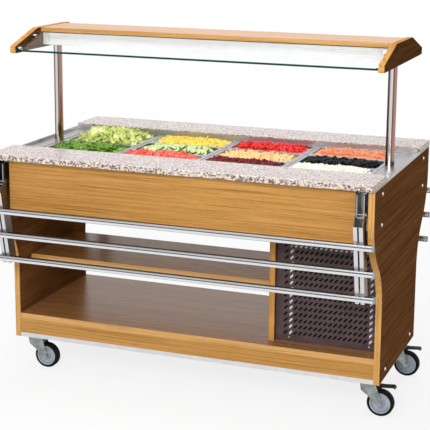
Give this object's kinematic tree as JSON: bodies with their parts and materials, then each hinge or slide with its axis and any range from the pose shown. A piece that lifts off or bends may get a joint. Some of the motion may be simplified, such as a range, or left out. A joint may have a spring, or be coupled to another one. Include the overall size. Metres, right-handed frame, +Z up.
{
  "type": "mobile salad bar",
  "caption": "Mobile refrigerated salad bar: woodgrain cabinet with open shelves, granite-edged cold well with lift-out pans, lit glass canopy, folding tray slides and swivel casters.",
  "frame": {"origin": "on the floor under the middle of the cabinet, where the planes midway between the side panels and midway between the granite edges meet", "axes": "+X along the length towards the grille end, +Y towards the hidden long side (the pictured front faces -Y), +Z up"},
  "size_m": [1.566, 0.9872, 1.352],
  "materials": {
    "oak_side": "woodgrain laminate, satin",
    "oak_edge": "woodgrain edging strip",
    "oak_front": "woodgrain laminate, satin",
    "oak_shelf": "woodgrain laminate, semi-gloss",
    "oak_canopy": "woodgrain laminate, satin",
    "base_laminate": "light grey laminate",
    "grille_paint": "dark brown powder coat, matt",
    "worktop_steel": "brushed",
    "well_steel": "satin",
    "insulation": "rigid foam",
    "granite": "polished, pinkish grey with dark specks",
    "post_steel": "polished tube",
    "light_white": "white, satin",
    "light_lens": "opal",
    "pane_glass": "clear float glass, green edge",
    "chrome": "polished",
    "compressor_paint": "black paint",
    "condenser_fins": "raw fins",
    "control_black": "fine texture",
    "rocker_black": "gloss",
    "bracket_steel": "satin",
    "arm_alu": "anodised",
    "rail_alu": "anodised, bright",
    "cap_plastic": "moulded",
    "zinc": "bright zinc plated",
    "rim_plastic": "moulded",
    "tyre_rubber": "matt",
    "pedal_black": "moulded",
    "pan_steel": "satin deep-drawn sheet"
  },
  "bodies": {
    "cabinet": {"side_panel_left": "oak_side", "side_panel_right": "oak_side", "panel_edging": "oak_edge", "aprons": "oak_front", "bottom_shelf": "oak_shelf", "plinth_boards": "oak_front", "base_board": "base_laminate", "middle_shelf": "oak_shelf", "divider": "oak_shelf", "grilles": "grille_paint", "worktop": "worktop_steel", "cold_well": "well_steel", "well_insulation": "insulation", "granite_slabs": "granite", "pan_bars": "worktop_steel", "canopy_posts": "post_steel", "canopy_cheeks": "oak_canopy", "canopy_top": "oak_canopy", "light_box": "light_white", "light_diffuser": "light_lens", "sneeze_glass": "pane_glass", "glass_clips": "chrome", "cap_screws": "chrome", "compressor": "compressor_paint", "condenser": "condenser_fins", "control_plate": "control_black", "slide_brackets": "bracket_steel", "caster_plates": "zinc"},
    "power_switch": {"power_switch": "rocker_black"},
    "front_tray_slide": {"front_slide_arms": "arm_alu", "front_slide_rails": "rail_alu", "front_slide_caps": "cap_plastic"},
    "rear_tray_slide": {"rear_slide_arms": "arm_alu", "rear_slide_rails": "rail_alu", "rear_slide_caps": "cap_plastic"},
    "caster_front_left": {"fork_front_left": "zinc"},
    "wheel_front_left": {"rim_front_left": "rim_plastic", "tyre_front_left": "tyre_rubber"},
    "caster_front_right": {"fork_front_right": "zinc"},
    "wheel_front_right": {"rim_front_right": "rim_plastic", "tyre_front_right": "tyre_rubber"},
    "caster_rear_left": {"fork_rear_left": "zinc"},
    "wheel_rear_left": {"rim_rear_left": "rim_plastic", "tyre_rear_left": "tyre_rubber"},
    "caster_rear_right": {"fork_rear_right": "zinc"},
    "wheel_rear_right": {"rim_rear_right": "rim_plastic", "tyre_rear_right": "tyre_rubber"},
    "brake_pedal_front": {"brake_pedal_front": "pedal_black"},
    "brake_pedal_rear": {"brake_pedal_rear": "pedal_black"},
    "pan_lettuce": {"pan_lettuce": "pan_steel"},
    "pan_rocket": {"pan_rocket": "pan_steel"},
    "pan_corn": {"pan_corn": "pan_steel"},
    "pan_cucumber": {"pan_cucumber": "pan_steel"},
    "pan_tomato": {"pan_tomato": "pan_steel"},
    "pan_pepper": {"pan_pepper": "pan_steel"},
    "pan_pasta": {"pan_pasta": "pan_steel"},
    "pan_beans": {"pan_beans": "pan_steel"},
    "pan_carrot": {"pan_carrot": "pan_steel"},
    "pan_olives": {"pan_olives": "pan_steel"},
    "pan_cheese": {"pan_cheese": "pan_steel"}
  },
  "joints": [
    {"name": "front_slide_fold", "type": "hinge", "parent": "cabinet", "child": "front_tray_slide", "pos_m": [0, -0.454, 0.806], "axis": [-1, 0, 0], "range_deg": [0, 102]},
    {"name": "rear_slide_fold", "type": "hinge", "parent": "cabinet", "child": "rear_tray_slide", "pos_m": [0, 0.454, 0.806], "axis": [1, 0, 0], "range_deg": [0, 102]},
    {"name": "power_switch_rock", "type": "hinge", "parent": "cabinet", "child": "power_switch", "pos_m": [-0.518, 0.434, 0.816], "axis": [-1, 0, 0], "range_deg": [0, 14]},
    {"name": "caster_front_left_swivel", "type": "hinge", "parent": "cabinet", "child": "caster_front_left", "pos_m": [-0.683, -0.2205, 0.13], "axis": [0, 0, 1], "continuous": true},
    {"name": "wheel_front_left_spin", "type": "hinge", "parent": "caster_front_left", "child": "wheel_front_left", "pos_m": [-0.636, -0.2205, 0.05], "axis": [0, 1, 0], "continuous": true},
    {"name": "caster_front_right_swivel", "type": "hinge", "parent": "cabinet", "child": "caster_front_right", "pos_m": [0.683, -0.2205, 0.13], "axis": [0, 0, 1], "continuous": true},
    {"name": "wheel_front_right_spin", "type": "hinge", "parent": "caster_front_right", "child": "wheel_front_right", "pos_m": [0.73, -0.2205, 0.05], "axis": [0, 1, 0], "continuous": true},
    {"name": "caster_rear_left_swivel", "type": "hinge", "parent": "cabinet", "child": "caster_rear_left", "pos_m": [-0.683, 0.2205, 0.13], "axis": [0, 0, 1], "continuous": true},
    {"name": "wheel_rear_left_spin", "type": "hinge", "parent": "caster_rear_left", "child": "wheel_rear_left", "pos_m": [-0.73, 0.2205, 0.05], "axis": [0, 1, 0], "continuous": true},
    {"name": "caster_rear_right_swivel", "type": "hinge", "parent": "cabinet", "child": "caster_rear_right", "pos_m": [0.683, 0.2205, 0.13], "axis": [0, 0, 1], "continuous": true},
    {"name": "wheel_rear_right_spin", "type": "hinge", "parent": "caster_rear_right", "child": "wheel_rear_right", "pos_m": [0.73, 0.2205, 0.05], "axis": [0, 1, 0], "continuous": true},
    {"name": "brake_pedal_front_press", "type": "hinge", "parent": "caster_front_right", "child": "brake_pedal_front", "pos_m": [0.705, -0.2205, 0.114], "axis": [0, 1, 0], "range_deg": [0, 10], "stiffness_Nm_per_rad": 0.8, "springref_deg": -17.19},
    {"name": "brake_pedal_rear_press", "type": "hinge", "parent": "caster_rear_right", "child": "brake_pedal_rear", "pos_m": [0.705, 0.2205, 0.114], "axis": [0, 1, 0], "range_deg": [0, 10], "stiffness_Nm_per_rad": 0.8, "springref_deg": -17.19},
    {"name": "pan_lettuce_lift", "type": "slide", "parent": "cabinet", "child": "pan_lettuce", "axis": [0, 0, 1], "range_m": [0, 0.16]},
    {"name": "pan_rocket_lift", "type": "slide", "parent": "cabinet", "child": "pan_rocket", "axis": [0, 0, 1], "range_m": [0, 0.16]},
    {"name": "pan_corn_lift", "type": "slide", "parent": "cabinet", "child": "pan_corn", "axis": [0, 0, 1], "range_m": [0, 0.16]},
    {"name": "pan_cucumber_lift", "type": "slide", "parent": "cabinet", "child": "pan_cucumber", "axis": [0, 0, 1], "range_m": [0, 0.16]},
    {"name": "pan_tomato_lift", "type": "slide", "parent": "cabinet", "child": "pan_tomato", "axis": [0, 0, 1], "range_m": [0, 0.16]},
    {"name": "pan_pepper_lift", "type": "slide", "parent": "cabinet", "child": "pan_pepper", "axis": [0, 0, 1], "range_m": [0, 0.16]},
    {"name": "pan_pasta_lift", "type": "slide", "parent": "cabinet", "child": "pan_pasta", "axis": [0, 0, 1], "range_m": [0, 0.16]},
    {"name": "pan_beans_lift", "type": "slide", "parent": "cabinet", "child": "pan_beans", "axis": [0, 0, 1], "range_m": [0, 0.16]},
    {"name": "pan_carrot_lift", "type": "slide", "parent": "cabinet", "child": "pan_carrot", "axis": [0, 0, 1], "range_m": [0, 0.16]},
    {"name": "pan_olives_lift", "type": "slide", "parent": "cabinet", "child": "pan_olives", "axis": [0, 0, 1], "range_m": [0, 0.16]},
    {"name": "pan_cheese_lift", "type": "slide", "parent": "cabinet", "child": "pan_cheese", "axis": [0, 0, 1], "range_m": [0, 0.16]}
  ]
}
